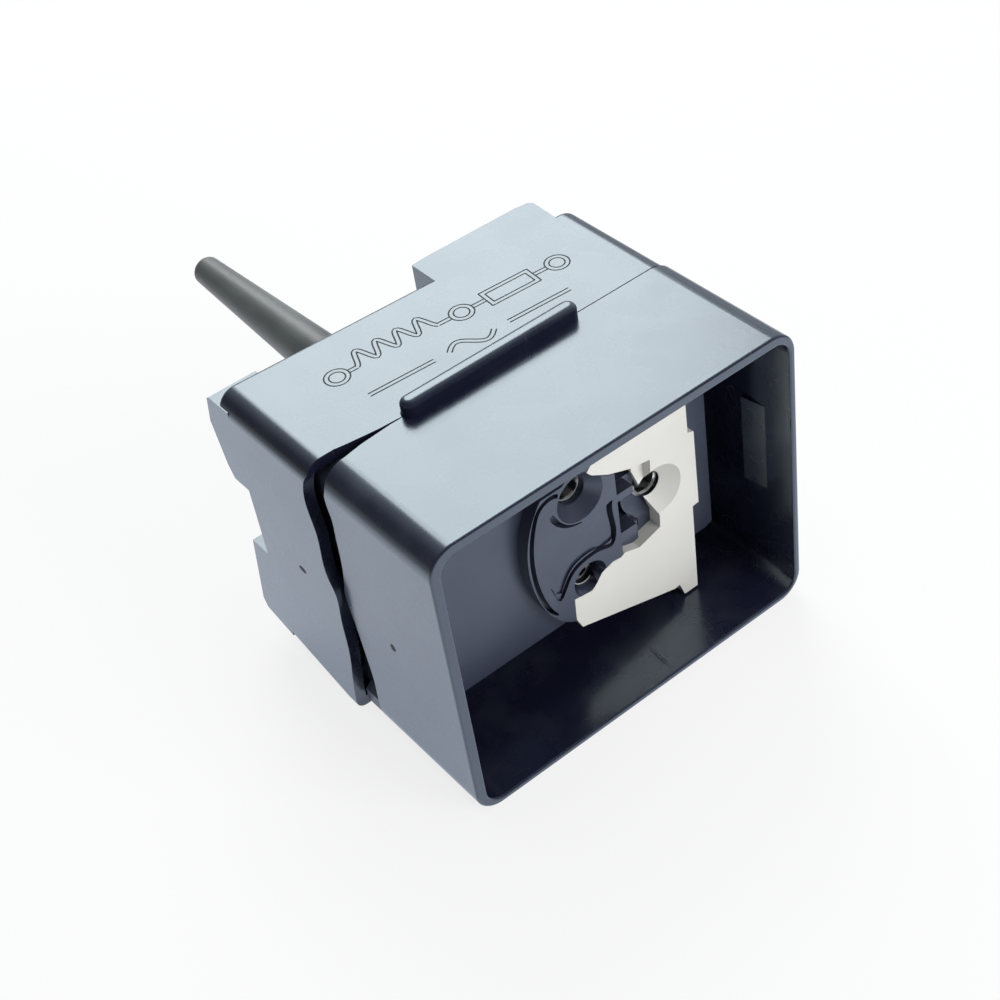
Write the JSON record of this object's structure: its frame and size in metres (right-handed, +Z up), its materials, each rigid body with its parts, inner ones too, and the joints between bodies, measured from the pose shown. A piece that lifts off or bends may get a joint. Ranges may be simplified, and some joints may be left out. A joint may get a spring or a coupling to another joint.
{
  "type": "compressor start relay",
  "caption": "Black boxed start relay with an open skirt over its pin sockets, a white relay front, and a tapered stem at the rear.",
  "frame": {"origin": "on the flat underside, straight below the plane where the pin sockets begin, midway across the skirt", "axes": "+Z up, -Y out of the mouth that goes over the pins, +X to the right seen from the mouth"},
  "size_m": [0.0508, 0.0699, 0.0423],
  "materials": {
    "housing_plastic": "black moulded plastic, satin to gloss",
    "carrier_plastic": "black moulded plastic, gloss",
    "face_plastic": "warm white moulded plastic",
    "stem_rubber": "matte dark grey",
    "clip_metal": "tinned spring metal, bright",
    "tab_brass": "tinned brass, dull",
    "disc_ceramic": "grey ceramic with silvered faces",
    "cup_phenolic": "dark brown moulding",
    "snap_metal": "rolled strip",
    "contact_silver": "silver contact"
  },
  "bodies": {
    "root": {"front_housing": "housing_plastic", "rear_cover": "housing_plastic", "socket_carrier": "carrier_plastic", "relay_face": "face_plastic", "rear_stem": "stem_rubber", "common_socket_clip": "clip_metal", "run_socket_clip": "clip_metal", "start_socket_clip": "clip_metal", "relay_case": "face_plastic", "relay_lid": "face_plastic", "ptc_disc": "disc_ceramic", "start_contact_spring": "snap_metal", "run_contact_spring": "snap_metal", "start_rivet": "tab_brass", "run_rivet": "tab_brass", "protector_case": "cup_phenolic", "protector_cover": "cup_phenolic", "bimetal_disc": "snap_metal", "heater_wire": "snap_metal", "calibration_screw": "tab_brass", "upper_moving_contact": "contact_silver", "lower_moving_contact": "contact_silver", "upper_fixed_contact": "contact_silver", "lower_fixed_contact": "contact_silver", "protector_link": "tab_brass", "line_terminal": "tab_brass", "run_terminal": "tab_brass", "start_terminal": "tab_brass"}
  },
  "joints": []
}
